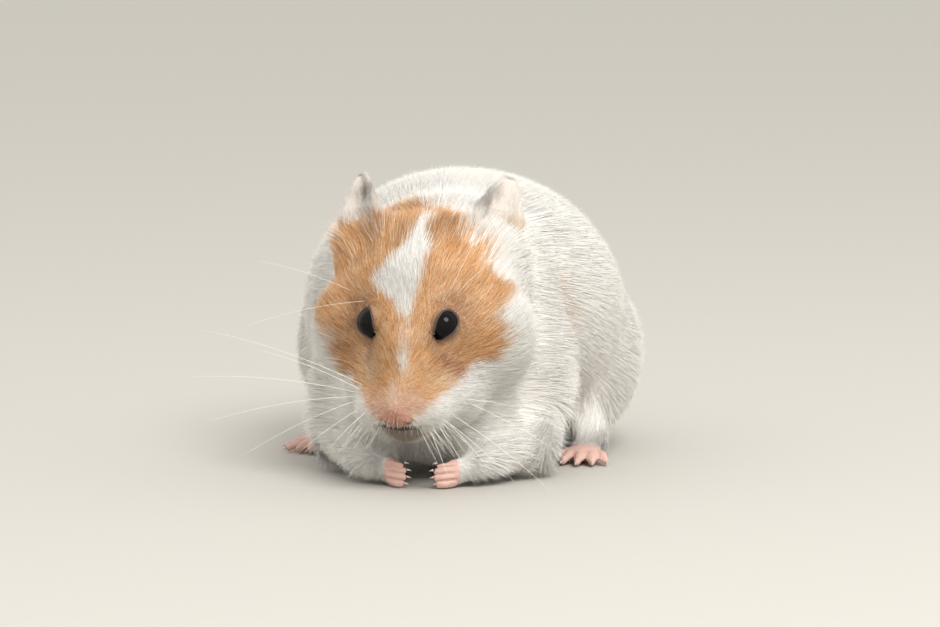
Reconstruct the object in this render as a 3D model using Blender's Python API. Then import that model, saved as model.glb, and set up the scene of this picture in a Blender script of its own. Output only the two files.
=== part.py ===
"""Syrian hamster at life size, crouching on all fours with its head low and its forepaws together.

Metres, +Z up. The trunk points along -Y with the head turned a little to its right, the animal's
left side is +X, and the feet stand on z = 0. Every solid is the animal's outline out to the tips
of its coat. The flesh is modelled as one whole from named masses and is then parted by thin cuts
into the pieces that a person would name. The tables below are in millimetres and degrees.
"""

import math

import bmesh
import bpy
from mathutils import Euler, Matrix, Vector

MM = 0.001
GAP = 0.3 * MM  # clearance between neighbouring pieces
SLIVER = 0.002 * MM  # edges shorter than this are closed up after a cut
SIDES = {"left": 1, "right": -1}

# Masses: centre, radii, tilt about X. The paired ones are made once on each side.
BODY = {
    "barrel": ((0, 7, 33), (35.6, 36, 31.1), 0),
    "loins": ((0, 20, 31.5), (34.6, 32, 29.4), 0),
    "rump": ((0, 30, 27.7), (31, 25.5, 26), 0),
    "shoulders": ((0, -14, 31.5), (26.5, 22, 29.5), 0),
    "chest": ((0, -26, 17.5), (19, 15, 15), 0),
}
BODY_PAIRED = {
    "haunch": ((23.8, 18, 23), (15.2, 22, 20), 0),
    "shoulder": ((15.5, -15, 25), (13, 15, 20.5), 0),
}
HEAD = {
    "cranium": ((0, -26.5, 41), (19.5, 17, 17), 20),
    "forehead": ((0, -36.5, 40), (16.5, 12, 11.5), 30),
    "throat": ((0, -38, 20), (13, 10, 9.5), 0),
    "bridge": ((0, -46.5, 30.5), (7.6, 7.5, 10.5), -28),
}
HEAD_PAIRED = {
    "temple": ((12.8, -27.3, 44.6), (9.4, 9.5, 11), 0),
    "cheek": ((12, -33.5, 32.5), (12.4, 13, 13.5), -10),
    "jowl": ((7.6, -41.5, 20.5), (8, 8.5, 7.5), -20),
    "whisker_pad": ((4.6, -50.5, 17.8), (6.4, 5.2, 4.8), 0),
}

# Tapered rods: start, end, start radius, end radius.
ARMS = {
    "upper_arm": ((20, -17, 20), (20.5, -23, 9), 9, 7.6),
    "forearm": ((20.5, -23, 8.2), (11.6, -39, 4.9), 7.4, 4.4),
}
SNOUT = {
    "snout": ((0, -40, 32), (0, -52.8, 19.6), 10, 4.2),
    "chin": ((0, -42, 14.5), (0, -48.6, 13), 5.2, 3.0),
}
TAIL = ((0, 52, 15), (0, 60, 10.6), 2.8, 1.2)

# The trunk rolls a little to its left, and the head turns to its right on the neck.
ROLL = 3.5
ROLL_AXIS = Vector((0, 0, 23)) * MM
HEAD_TURN = -4.8
NECK_PIVOT = Vector((0, -18, 0)) * MM
CROUCH = Matrix.Translation((0, 0, -0.7 * MM))


def turned_about(pivot, angle, axis):
    turn = Matrix.Rotation(math.radians(angle), 4, axis)
    return Matrix.Translation(pivot) @ turn @ Matrix.Translation(-pivot)


BODY_POSE = CROUCH @ turned_about(ROLL_AXIS, ROLL, "Y")
HEAD_POSE = CROUCH @ turned_about(NECK_PIVOT, HEAD_TURN, "Z")

NOSE = ((0, -55.2, 18.4), (2.7, 1.9, 2.1), 20)
EYE_CENTRE = (7.4, -45.4, 35.5)
EYE_RADIUS = 3.3

EAR_ROOT = Vector((12.8, -28.4, 51.2)) * MM
EAR_HEIGHT = 14.8 * MM
EAR_HALF_WIDTH = 5.6 * MM
EAR_THICKNESS = 0.9 * MM
EAR_CUP = 0.62  # depth of the cup as a share of its half width
EAR_TAPER, EAR_BASE, EAR_SWELL = 0.6, 0.95, 0.55  # how its half width goes from base to tip
EAR_TIP = 1.3 * MM
EAR_ROWS, EAR_COLUMNS = 7, 6
EAR_LEAN = (-14, 21, 24)  # back, outwards, and turned outwards

# Cuts between the pieces: a point on each plane, and the way that it faces.
HEAD_CUT = ((0, -20, 62), (0, -0.956, 0.294))
NECK_CUT = ((0, -11, 64), (0, -0.956, 0.294))
MUZZLE_CUT = ((0, -48.5, 24), (0, -0.72, -0.69))
JAW_CUT = ((0, -50, 14.2), (0, -0.1, -1))
# Masses that part a leg from the trunk, a little larger than the leg inside them.
ELBOW_CUT = ((25, -15, 20), (22, -22, 9), 9.5, 9.5)
FOREARM_CUT = ((22, -23, 8), (11, -40.5, 3.5), 9.5, 6.5)
THIGH_CUT = ((29, 19, 20), (14, 21, 19))
HOCK_CUT_RADII = (8.5, 11, 8.5)

# Hind feet: where the ball stands, and where it heads (0 is -Y, positive is towards +X).
HIND_FEET = {"left": ((28.5, -4), -4), "right": ((-32.5, 4), -58)}
SHANK = ((25.5, 14, 15), (0.3, 6.2, 6.4), 10, 5.2)  # ends at the ankle, in the foot's frame
SOLE = ((0, 11.5, 2.85), (0, 2, 2.45), 3.0, 2.5)
ANKLE = ((0.2, 4, 3.4), (0.4, 7, 5.4), 3.0, 3.2)
BALL = ((0, 1, 2.2), (4.6, 3.6, 2.2))
HIND_TOE_LENGTHS = (4.2, 5.6, 6.0, 5.6, 4.4)
HIND_TOE_SPREAD = 13
HIND_TOE_PITCH = 1.95
HIND_TOE_HEIGHTS = (2.0, 1.05)  # at the root and at the tip
HIND_TOE_RADIUS = 1.2
# Forepaws stand on their outer edges with the palms facing, four fingers one above another.
PALM = ((6.6, -41.4, 3.5), (2.2, 3.1, 3.3))
WRIST = ((11.5, -38.5, 4.6), (8, -40.2, 3.9), 3.1, 2.7)
FINGER_HEIGHTS = (1.1, 2.6, 4.1, 5.5)
FINGER_LENGTHS = (2.6, 3.2, 3.3, 2.6)
FINGER_RADIUS = 0.92
CLAW_LENGTHS = {"hind": 2.2, "fore": 1.6}
CLAW_RADII = (0.45, 0.36, 0.2)
CLAW_CORNERS = 5
CLAW_DROP = 0.55
FLAT_DEPTH = 0.25 * MM  # how much of a foot is flattened where it stands

# How each kind of piece is fused: the size of the grid, the rounds of smoothing, the triangles.
BODY_GRID, BODY_ROUNDS = 1.0 * MM, 30
CUTTER_GRID, CUTTER_ROUNDS = 1.2 * MM, 6
FOOT_GRID, FOOT_ROUNDS = 0.3 * MM, 3
TAIL_GRID, TAIL_ROUNDS = 0.6 * MM, 2
TAIL_TRIANGLES = 120
WHOLE_TRIANGLES = 2430
LEG_CUT_TRIANGLES = 110
HIND_FOOT_TRIANGLES = 370
FORE_PAW_TRIANGLES = 290

COAT_WHITE = (0.86, 0.84, 0.79)
COAT_ORANGE = (0.66, 0.36, 0.14)
SKIN_PINK = (0.72, 0.42, 0.35)
NOSE_PINK = (0.52, 0.25, 0.20)
EYE_BLACK = (0.006, 0.005, 0.005)


def clear_scene():
    for old in list(bpy.data.objects):
        bpy.data.objects.remove(old)


def finish(name, colour, roughness):
    """One Principled material."""
    made = bpy.data.materials.new(name)
    made.use_nodes = True
    shader = made.node_tree.nodes["Principled BSDF"]
    shader.inputs["Base Color"].default_value = (*colour, 1)
    shader.inputs["Roughness"].default_value = roughness
    shader.inputs["Metallic"].default_value = 0
    return made


def mirrored(point, side):
    return Vector((point[0] * side, point[1], point[2]))


def add_ellipsoid(mesh, centre, radii, tilt=0, pose=Matrix(), segments=32, rings=20):
    """A closed ellipsoid."""
    place = (
        pose
        @ Matrix.Translation(Vector(centre) * MM)
        @ Matrix.Rotation(math.radians(tilt), 4, "X")
        @ Matrix.Diagonal((*(Vector(radii) * MM), 1))
    )
    bmesh.ops.create_uvsphere(
        mesh, u_segments=segments, v_segments=rings, radius=1, matrix=place
    )


def add_rod(mesh, start, end, start_radius, end_radius, pose=Matrix(), segments=20):
    """A tapered rod with round ends."""
    start, end = Vector(start), Vector(end)
    along = end - start
    turn = Vector((0, 0, 1)).rotation_difference(along).to_matrix().to_4x4()
    bmesh.ops.create_cone(
        mesh,
        cap_ends=True,
        segments=segments,
        radius1=start_radius * MM,
        radius2=end_radius * MM,
        depth=along.length * MM,
        matrix=pose @ Matrix.Translation((start + end) / 2 * MM) @ turn,
    )
    for centre, radius in ((start, start_radius), (end, end_radius)):
        add_ellipsoid(mesh, centre, (radius,) * 3, 0, pose, segments, 12)


def object_from(name, mesh):
    """An object made from a bmesh, which is used up."""
    data = bpy.data.meshes.new(name)
    mesh.to_mesh(data)
    mesh.free()
    made = bpy.data.objects.new(name, data)
    bpy.context.scene.collection.objects.link(made)
    return made


def settle(obj):
    """Replaces an object's mesh by what its modifiers make of it."""
    bpy.context.view_layer.update()
    graph = bpy.context.evaluated_depsgraph_get()
    data = bpy.data.meshes.new_from_object(obj.evaluated_get(graph), depsgraph=graph)
    obj.modifiers.clear()
    obj.data = data
    return obj


def melt(obj, voxel, rounds, triangles):
    """Fuses overlapping masses into one smooth closed skin of about this many triangles."""
    remesh = obj.modifiers.new("fuse", "REMESH")
    remesh.mode = "VOXEL"
    remesh.voxel_size = voxel
    soften = obj.modifiers.new("soften", "SMOOTH")
    soften.factor = 0.5
    soften.iterations = rounds
    settle(obj)
    count = sum(len(face.vertices) - 2 for face in obj.data.polygons)
    thin = obj.modifiers.new("thin", "DECIMATE")
    thin.ratio = triangles / count
    return settle(obj)


def drop_slivers(obj):
    """Keeps only the largest connected part of an object."""
    mesh = bmesh.new()
    mesh.from_mesh(obj.data)
    bmesh.ops.dissolve_degenerate(mesh, dist=SLIVER, edges=mesh.edges)
    left = set(mesh.verts)
    largest = []
    while left:
        reached = [left.pop()]
        for vertex in reached:
            for edge in vertex.link_edges:
                other = edge.other_vert(vertex)
                if other in left:
                    left.remove(other)
                    reached.append(other)
        largest = max(largest, reached, key=len)
    kept = set(largest)
    slivers = [vertex for vertex in mesh.verts if vertex not in kept]
    bmesh.ops.delete(mesh, geom=slivers, context="VERTS")
    mesh.to_mesh(obj.data)
    mesh.free()


def cut(obj, tool, operation):
    """A Boolean with a tool, applied."""
    step = obj.modifiers.new(operation.lower(), "BOOLEAN")
    step.operation = operation
    step.object = tool
    step.use_self = True  # a swollen foot runs into itself between its toes
    settle(obj)
    drop_slivers(obj)
    return obj


def copy_of(obj, name, grow=0.0):
    """A copy of an object, swollen along its normals."""
    made = bpy.data.objects.new(name, obj.data.copy())
    bpy.context.scene.collection.objects.link(made)
    if grow:
        swell = made.modifiers.new("swell", "DISPLACE")
        swell.direction = "NORMAL"
        swell.mid_level = 0
        swell.strength = grow
        settle(made)
    return made


def without(obj, *others):
    """Cuts other solids out of obj, leaving the gap round them."""
    for other in others:
        tool = copy_of(other, "tool", GAP)
        cut(obj, tool, "DIFFERENCE")
        bpy.data.objects.remove(tool)
    return obj


def half_space(point, normal, shift, pose=Matrix(), size=0.3):
    """A large box behind a plane, on the side that the plane's normal points to."""
    normal = Vector(normal).normalized()
    turn = Vector((0, 0, 1)).rotation_difference(normal).to_matrix().to_4x4()
    centre = Vector(point) * MM + normal * (size / 2 + shift)
    mesh = bmesh.new()
    bmesh.ops.create_cube(
        mesh, size=size, matrix=pose @ Matrix.Translation(centre) @ turn
    )
    return object_from("tool", mesh)


def split(obj, name, tool_maker):
    """Parts obj in two along a tool's surface. What lies inside the tool becomes name."""
    inner, outer = tool_maker(-GAP / 2), tool_maker(GAP / 2)
    piece = cut(copy_of(obj, name), inner, "INTERSECT")
    cut(obj, outer, "DIFFERENCE")
    for tool in (inner, outer):
        bpy.data.objects.remove(tool)
    return piece


def split_by_plane(obj, name, point, normal, pose=Matrix()):
    return split(obj, name, lambda grow: half_space(point, normal, -grow, pose))


def split_by_masses(obj, name, side, ellipsoids=(), rods=()):
    """Parts off a leg with a cutter fused from a few masses."""
    mesh = bmesh.new()
    for centre, radii in ellipsoids:
        add_ellipsoid(mesh, mirrored(centre, side), radii)
    for start, end, first, last in rods:
        add_rod(mesh, mirrored(start, side), mirrored(end, side), first, last)
    cutter = melt(object_from("cutter", mesh), CUTTER_GRID, CUTTER_ROUNDS, LEG_CUT_TRIANGLES)
    piece = split(obj, name, lambda grow: copy_of(cutter, "tool", grow))
    bpy.data.objects.remove(cutter)
    return piece


def flatten_under(obj, depth):
    """Lowers a foot so that this depth of it goes below the floor, and cuts that off flat."""
    lowest = min(vertex.co.z for vertex in obj.data.vertices)
    obj.data.transform(Matrix.Translation((0, 0, -depth - lowest)))
    floor = half_space((0, 0, 0), (0, 0, -1), 0)
    cut(obj, floor, "DIFFERENCE")
    bpy.data.objects.remove(floor)
    return obj


def hind_place(side_name):
    """Where a hind foot stands."""
    spot, heading = HIND_FEET[side_name]
    turn = Matrix.Rotation(math.radians(heading), 4, "Z")
    return Matrix.Translation(Vector((*spot, 0)) * MM) @ turn


def add_legs(mesh, side_name):
    """An arm bent at the elbow, and a shank that comes down to the ankle."""
    side = SIDES[side_name]
    for start, end, first, last in ARMS.values():
        add_rod(mesh, mirrored(start, side), mirrored(end, side), first, last)
    knee, ankle, first, last = SHANK
    ankle = hind_place(side_name) @ (Vector(ankle) * MM) / MM
    add_rod(mesh, mirrored(knee, side), ankle, first, last)


def whole_body():
    """Head, neck, trunk and legs in one, out to the tips of the coat."""
    mesh = bmesh.new()
    for singles, pairs, pose in (
        (BODY, BODY_PAIRED, BODY_POSE),
        (HEAD, HEAD_PAIRED, HEAD_POSE),
    ):
        for centre, radii, tilt in singles.values():
            add_ellipsoid(mesh, centre, radii, tilt, pose)
        for side in SIDES.values():
            for centre, radii, tilt in pairs.values():
                add_ellipsoid(mesh, mirrored(centre, side), radii, tilt, pose)
    for side_name in SIDES:
        add_legs(mesh, side_name)
    for rod in SNOUT.values():
        add_rod(mesh, *rod, HEAD_POSE)
    return melt(object_from("trunk", mesh), BODY_GRID, BODY_ROUNDS, WHOLE_TRIANGLES)


def eye(side_name):
    mesh = bmesh.new()
    centre = mirrored(EYE_CENTRE, SIDES[side_name])
    add_ellipsoid(mesh, centre, (EYE_RADIUS,) * 3, 0, HEAD_POSE, 12, 10)
    return object_from("eye_" + side_name, mesh)


def ear(side_name):
    """A leaf-shaped cup, rounded at its tip, that opens forwards and outwards."""
    side = SIDES[side_name]
    mesh = bmesh.new()
    grid = []
    for row in range(EAR_ROWS + 1):
        up = row / EAR_ROWS
        width = EAR_HALF_WIDTH * (1 - up) ** EAR_TAPER * (EAR_BASE + EAR_SWELL * up)
        width = max(width, EAR_TIP)
        line = []
        for column in range(EAR_COLUMNS + 1):
            across = 2 * column / EAR_COLUMNS - 1
            bend = EAR_CUP * width * across**2
            line.append(mesh.verts.new((across * width, -bend, up * EAR_HEIGHT)))
        grid.append(line)
    for low, high in zip(grid, grid[1:]):
        for column in range(EAR_COLUMNS):
            mesh.faces.new(
                (low[column], low[column + 1], high[column + 1], high[column])
            )
    made = object_from("ear_" + side_name, mesh)
    thick = made.modifiers.new("thickness", "SOLIDIFY")
    thick.thickness = EAR_THICKNESS
    thick.offset = 0
    settle(made)
    back, out, turn = (math.radians(angle) for angle in EAR_LEAN)
    lean = Euler((back, out * side, turn * side)).to_matrix().to_4x4()
    root = Matrix.Translation(mirrored(EAR_ROOT, side))
    made.data.transform(HEAD_POSE @ root @ lean)
    return made


def toe_lines(lengths, spread, pitch, height, tip_height):
    """Root, knuckle, tip and heading of each toe, in the foot's own frame."""
    for index, length in enumerate(lengths):
        off = index - (len(lengths) - 1) / 2
        angle = math.radians(off * spread)
        ahead = Vector((math.sin(angle), -math.cos(angle), 0))
        root = Vector((off * pitch, 0.35 * abs(off), height))
        knuckle = root + ahead * length / 2 + Vector((0, 0, 0.35))
        tip = root + ahead * length
        tip.z = tip_height
        yield root, knuckle, tip, ahead


def claw(tip, ahead, reach, length):
    """A short curved cone that grows out of the toe's tip."""
    mesh = bmesh.new()
    across = Vector((-ahead.y, ahead.x, 0))
    rings = []
    for step, radius in enumerate(CLAW_RADII):
        share = step / (len(CLAW_RADII) - 1)
        centre = tip + ahead * (reach + length * share)
        centre.z += 0.1 - CLAW_DROP * share**2
        ring = []
        for corner in range(CLAW_CORNERS):
            angle = corner * math.tau / CLAW_CORNERS
            offset = across * math.cos(angle) + Vector((0, 0, math.sin(angle)))
            ring.append(mesh.verts.new((centre + offset * radius) * MM))
        rings.append(ring)
    mesh.faces.new(rings[0])
    mesh.faces.new(rings[-1])
    for near, far in zip(rings, rings[1:]):
        for corner in range(CLAW_CORNERS):
            after = (corner + 1) % CLAW_CORNERS
            mesh.faces.new((near[corner], far[corner], far[after], near[after]))
    bmesh.ops.recalc_face_normals(mesh, faces=mesh.faces)
    return object_from("claw", mesh)


def foot(name, place, rods, ball, toes, toe_radius, claw_length, triangles):
    """A foot with its toes and claws, standing on small flats."""
    mesh = bmesh.new()
    for rod in rods:
        add_rod(mesh, *rod)
    add_ellipsoid(mesh, *ball)
    claws = []
    for root, knuckle, tip, ahead in toes:
        add_rod(mesh, root, knuckle, toe_radius, toe_radius * 0.96, Matrix(), 12)
        add_rod(mesh, knuckle, tip, toe_radius * 0.96, toe_radius * 0.92, Matrix(), 12)
        claws.append(claw(tip, ahead, toe_radius * 0.4, claw_length))
    made = melt(object_from(name, mesh), FOOT_GRID, FOOT_ROUNDS, triangles)
    flatten_under(made, FLAT_DEPTH)
    for each in claws:
        cut(made, each, "UNION")
        bpy.data.objects.remove(each)
    made.data.transform(place)
    return made


def hind_foot(side_name):
    """Sole, ankle and five toes."""
    toes = toe_lines(HIND_TOE_LENGTHS, HIND_TOE_SPREAD, HIND_TOE_PITCH, *HIND_TOE_HEIGHTS)
    return foot(
        "hind_foot_" + side_name,
        hind_place(side_name),
        (SOLE, ANKLE),
        BALL,
        toes,
        HIND_TOE_RADIUS,
        CLAW_LENGTHS["hind"],
        HIND_FOOT_TRIANGLES,
    )


def finger_lines(side):
    """Root, knuckle, tip and heading of each finger, curled in towards the other paw."""
    for height, length in zip(FINGER_HEIGHTS, FINGER_LENGTHS):
        root = Vector((PALM[0][0] - 0.6, PALM[0][1] - 1.6, height))
        knuckle = root + Vector((-0.25, -0.5, 0)) * length
        tip = knuckle + Vector((-0.62, -0.06, -0.05)) * length
        ahead = Vector((-1, 0.15, 0)).normalized()
        yield tuple(mirrored(point, side) for point in (root, knuckle, tip, ahead))


def fore_paw(side_name):
    """Palm, wrist and four fingers."""
    side = SIDES[side_name]
    start, end, first, last = WRIST
    wrist = (mirrored(start, side), mirrored(end, side), first, last)
    return foot(
        "fore_paw_" + side_name,
        Matrix(),
        (wrist,),
        (mirrored(PALM[0], side), PALM[1]),
        finger_lines(side),
        FINGER_RADIUS,
        CLAW_LENGTHS["fore"],
        FORE_PAW_TRIANGLES,
    )


def nose():
    mesh = bmesh.new()
    add_ellipsoid(mesh, *NOSE, HEAD_POSE, 12, 8)
    return object_from("nose", mesh)


def tail():
    mesh = bmesh.new()
    add_rod(mesh, *TAIL, Matrix(), 14)
    return melt(object_from("tail", mesh), TAIL_GRID, TAIL_ROUNDS, TAIL_TRIANGLES)


def legs_from(whole):
    """The four legs, parted from the trunk."""
    legs = []
    for side_name, side in SIDES.items():
        arm = (ELBOW_CUT, FOREARM_CUT)
        legs.append(split_by_masses(whole, "fore_leg_" + side_name, side, (), arm))
        ankle = hind_place(side_name) @ (Vector(SHANK[1]) * MM) / MM
        shank = (THIGH_CUT, (mirrored(ankle, side), HOCK_CUT_RADII))
        legs.append(split_by_masses(whole, "hind_leg_" + side_name, side, shank))
    return legs


def centre_on_origin(objects):
    """Moves all the pieces together so that the origin is the middle of the box's base."""
    points = [vertex.co for obj in objects for vertex in obj.data.vertices]
    low = Vector(map(min, zip(*points)))
    high = Vector(map(max, zip(*points)))
    shift = Matrix.Translation((-(low.x + high.x) / 2, -(low.y + high.y) / 2, -low.z))
    for obj in objects:
        obj.data.transform(shift)


def main():
    clear_scene()
    trunk = whole_body()
    feet = [maker(side_name) for maker in (hind_foot, fore_paw) for side_name in SIDES]
    without(trunk, *feet)
    legs = legs_from(trunk)
    head = split_by_plane(trunk, "head", *HEAD_CUT, HEAD_POSE)
    neck = split_by_plane(trunk, "neck", *NECK_CUT)
    muzzle = split_by_plane(head, "muzzle", *MUZZLE_CUT, HEAD_POSE)
    jaw = split_by_plane(muzzle, "lower_jaw", *JAW_CUT, HEAD_POSE)
    nose_pad = nose()
    without(muzzle, nose_pad)
    eyes = [eye(side_name) for side_name in SIDES]
    without(head, *eyes)
    ears = [without(ear(side_name), head, neck) for side_name in SIDES]
    tail_stub = without(tail(), trunk)

    looks = (
        (finish("white coat", COAT_WHITE, 0.8), [trunk, neck, *legs]),
        (finish("orange coat", COAT_ORANGE, 0.8), [head, muzzle, jaw]),
        (finish("pink skin", SKIN_PINK, 0.5), [*ears, *feet, tail_stub]),
        (finish("nose skin", NOSE_PINK, 0.45), [nose_pad]),
        (finish("black eye", EYE_BLACK, 0.05), eyes),
    )
    for look, pieces in looks:
        for piece in pieces:
            piece.data.materials.clear()
            piece.data.materials.append(look)
    centre_on_origin([piece for _, pieces in looks for piece in pieces])


main()
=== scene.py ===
"""A Syrian hamster at life size, crouching on all fours, as a museum would show it.

The frame gives the outline out to the tips of the coat. Inside it lies one skin with its lids,
nostrils, lips, ears, toes and markings, then eyes, claws, coat and whiskers are added in the order
in which a taxidermist's model is put together. Lengths in tables are in millimetres.
"""

import math

import bmesh
import bpy
import numpy as np
from mathutils import Euler, Matrix, Vector
from mathutils.bvhtree import BVHTree


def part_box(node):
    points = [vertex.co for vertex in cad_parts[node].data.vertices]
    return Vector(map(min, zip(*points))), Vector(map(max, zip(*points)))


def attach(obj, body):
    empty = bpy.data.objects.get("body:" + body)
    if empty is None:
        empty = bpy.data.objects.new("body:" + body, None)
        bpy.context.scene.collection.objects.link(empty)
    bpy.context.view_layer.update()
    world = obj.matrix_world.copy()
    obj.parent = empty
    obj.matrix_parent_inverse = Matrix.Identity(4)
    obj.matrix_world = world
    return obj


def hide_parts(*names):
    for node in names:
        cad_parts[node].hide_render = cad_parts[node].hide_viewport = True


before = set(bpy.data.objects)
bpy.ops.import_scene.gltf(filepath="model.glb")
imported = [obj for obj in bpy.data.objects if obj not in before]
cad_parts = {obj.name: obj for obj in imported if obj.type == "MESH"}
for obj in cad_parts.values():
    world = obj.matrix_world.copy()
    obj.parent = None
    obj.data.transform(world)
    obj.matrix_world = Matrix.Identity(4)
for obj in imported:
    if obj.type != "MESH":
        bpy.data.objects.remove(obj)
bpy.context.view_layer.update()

# ---------------------------------------------------------------------------------------------
# Skin: one closed hide over head, trunk, ears, legs, paws and tail, with no seam.
# It is fused from the flesh of the frame and drawn in by the depth of the coat, so that the
# hair tips come back out to the frame's surface. Feet, ears and nose stay almost full size.
MM = 0.001
SIDES = {"left": 1, "right": -1}
FLESH = (
    "trunk neck head muzzle lower_jaw nose tail ear_left ear_right eye_left eye_right "
    "fore_leg_left fore_leg_right fore_paw_left fore_paw_right "
    "hind_leg_left hind_leg_right hind_foot_left hind_foot_right"
).split()
HEAD_TURN = math.radians(-4.8)
HEAD_TO_WORLD = np.array(Matrix.Rotation(HEAD_TURN, 3, "Z"))
WORLD_TO_HEAD = np.array(Matrix.Rotation(-HEAD_TURN, 3, "Z"))
BALL_OVERSIZE = 1.08  # behind its lids the eyeball is this much larger than the part that shows
MEETING = 0.2 * MM  # each solid grows by this, which closes the gaps between them
FUSE_VOXEL = 0.42 * MM
SKIN_VOXEL = 0.36 * MM
DEPTH_SHARE = 0.26  # how far a hair's tip stands off the skin, as a share of its length


def middle(node):
    """The middle of a node's box."""
    low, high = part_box(node)
    return np.array((low + high) / 2)


nose = middle("nose")
eye_centres = {side: middle("eye_" + side) for side in SIDES}
eye_radius = (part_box("eye_left")[1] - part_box("eye_left")[0]).z / 2 * BALL_OVERSIZE


def to_head(points):
    """World points as millimetres from the nose: x to the animal's left, y back, z up."""
    return (np.asarray(points) - nose) @ WORLD_TO_HEAD.T / MM


def from_head(points):
    """The way back, to points in the world."""
    return np.asarray(points, float) * MM @ HEAD_TO_WORLD.T + nose


def smooth_step(value, start, end):
    """Rises softly from 0 at the start to 1 at the end, either of which may be the larger."""
    share = np.clip((value - start) / (end - start), 0, 1)
    return share * share * (3 - 2 * share)


def unit(vectors):
    """The same directions, each one long."""
    return vectors / np.maximum(np.linalg.norm(vectors, axis=-1, keepdims=True), 1e-12)


def points_of(mesh):
    found = np.empty(len(mesh.vertices) * 3, np.float32)
    mesh.vertices.foreach_get("co", found)
    return found.reshape(-1, 3).astype(float)


def normals_of(mesh):
    found = np.empty(len(mesh.vertices) * 3, np.float32)
    mesh.vertex_normals.foreach_get("vector", found)
    return found.reshape(-1, 3).astype(float)


def edges_of(mesh):
    found = np.empty(len(mesh.edges) * 2, np.int32)
    mesh.edges.foreach_get("vertices", found)
    return found.reshape(-1, 2)


def put_points(mesh, points):
    mesh.vertices.foreach_set("co", points.astype(np.float32).ravel())
    mesh.update()


def relax(points, edges, amount, rounds):
    """Evens a surface out: each point moves towards the middle of its neighbours."""
    size = len(points)
    count = np.maximum(np.bincount(edges.ravel(), minlength=size), 1)[:, None]
    for _ in range(rounds):
        total = np.empty_like(points)
        for axis in range(3):
            line = points[:, axis]
            total[:, axis] = np.bincount(edges[:, 0], line[edges[:, 1]], size)
            total[:, axis] += np.bincount(edges[:, 1], line[edges[:, 0]], size)
        points = points + amount * (total / count - points)
    return points


LOOK_WITHIN = 12 * MM  # farther off than this, the distance to a solid's box will do


def near(points, names):
    """How far each point is from the surface of some solids of the frame, in mm."""
    least = np.full(len(points), np.inf)
    for name in names:
        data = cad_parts[name].data
        corners = [vertex.co.copy() for vertex in data.vertices]
        tree = BVHTree.FromPolygons(corners, [list(face.vertices) for face in data.polygons])
        low, high = (np.array(corner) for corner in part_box(name))
        gap = np.maximum(np.maximum(low - points, points - high), 0)
        gap = np.linalg.norm(gap, axis=1)
        close = gap < LOOK_WITHIN
        gap[close] = [tree.find_nearest(point)[3] for point in points[close]]
        least = np.minimum(least, gap)
    return least / MM


def segment_gap(points, start, end):
    """How far each point is from the line between two points."""
    start, end = np.array(start), np.array(end)
    along = end - start
    share = np.clip((points - start) @ along / (along @ along), 0, 1)
    return np.linalg.norm(points - start - share[:, None] * along, axis=1)


# Ears lean as the frame's do. In an ear's own frame x is across, y back and z up to the tip.
EAR_ROOT = (12.8, 26.8, 32.8)
EAR_LEAN = (-14, 21, 24)


def ear_turn(side):
    """The turn from an ear's own frame to the head's."""
    back, out, turned = (math.radians(angle) for angle in EAR_LEAN)
    return np.array(Euler((back, out * SIDES[side], turned * SIDES[side])).to_matrix())


def in_ear(points, side):
    """Points in an ear's own frame, in mm, with x running outwards from the head's middle."""
    root = np.array((EAR_ROOT[0] * SIDES[side], EAR_ROOT[1], EAR_ROOT[2]))
    local = (to_head(points) - root) @ ear_turn(side)
    local[:, 0] *= SIDES[side]
    return local


# Toes, as the frame has them: where a foot stands, where it heads, then each toe's line.
HIND_STANDS = {"left": ((28.5, -4.0), -4), "right": ((-32.5, 4.0), -58)}
HIND_TOES = (4.2, 5.6, 6.0, 5.6, 4.4)
HIND_SPREAD, HIND_SPACING = 13, 1.95  # degrees and mm from one toe to the next
HIND_RADIUS, FINGER_RADIUS = 1.2, 0.92
HIND_CLAW, FINGER_CLAW = 1.3, 1.0
FINGERS = ((1.1, 2.6), (2.6, 3.2), (4.1, 3.3), (5.5, 2.6))  # height, length
FINGER_LINE = (-0.87, -0.56, -0.05)  # from knuckle to tip on the left hand
PALM = (6.6, -41.4, 3.5)
HAND_LINE = (-0.86, -0.51, 0.0)  # from the wrist to the fingers of the left hand
NOSE_IN_TABLES = Vector((0.0, -55.2, 18.4))
NECK_PIVOT = Vector((0.0, -18.0, 0.0))
turn = Matrix.Rotation(HEAD_TURN, 3, "Z")
table_nose = NECK_PIVOT + turn @ (NOSE_IN_TABLES - NECK_PIVOT)
shift = Vector(nose) / MM - table_nose
shift.z = 0


def toe_lines():
    """Foot, root, tip, claw's heading, radius and claw length of every toe, in mm."""
    for side, (spot, heading) in HIND_STANDS.items():
        facing = Matrix.Rotation(math.radians(heading), 3, "Z")
        for index, length in enumerate(HIND_TOES):
            off = index - 2
            angle = math.radians(off * HIND_SPREAD)
            ahead = facing @ Vector((math.sin(angle), -math.cos(angle), 0))
            root = facing @ Vector((off * HIND_SPACING, 0.35 * abs(off), 0)) + Vector((*spot, 0))
            root += shift + Vector((0, 0, 0.95))
            yield "hind_" + side, root, root + ahead * length, ahead, HIND_RADIUS, HIND_CLAW
    for side, sign in SIDES.items():
        for height, length in FINGERS:
            root = Vector((PALM[0] - 0.6, PALM[1] - 1.6, height))
            tip = root + Vector(FINGER_LINE) * length
            root, tip = (Vector((end.x * sign, end.y, end.z)) + shift for end in (root, tip))
            ahead = Vector((-sign, 0.15, 0)).normalized()
            yield "fore_" + side, root, tip, ahead, FINGER_RADIUS, FINGER_CLAW


toes = list(toe_lines())


def off_toes(points):
    """How far each point is from the middle line of the nearest toe, in mm."""
    return np.min([segment_gap(points / MM, toe[1], toe[2]) for toe in toes], axis=0)


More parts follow.
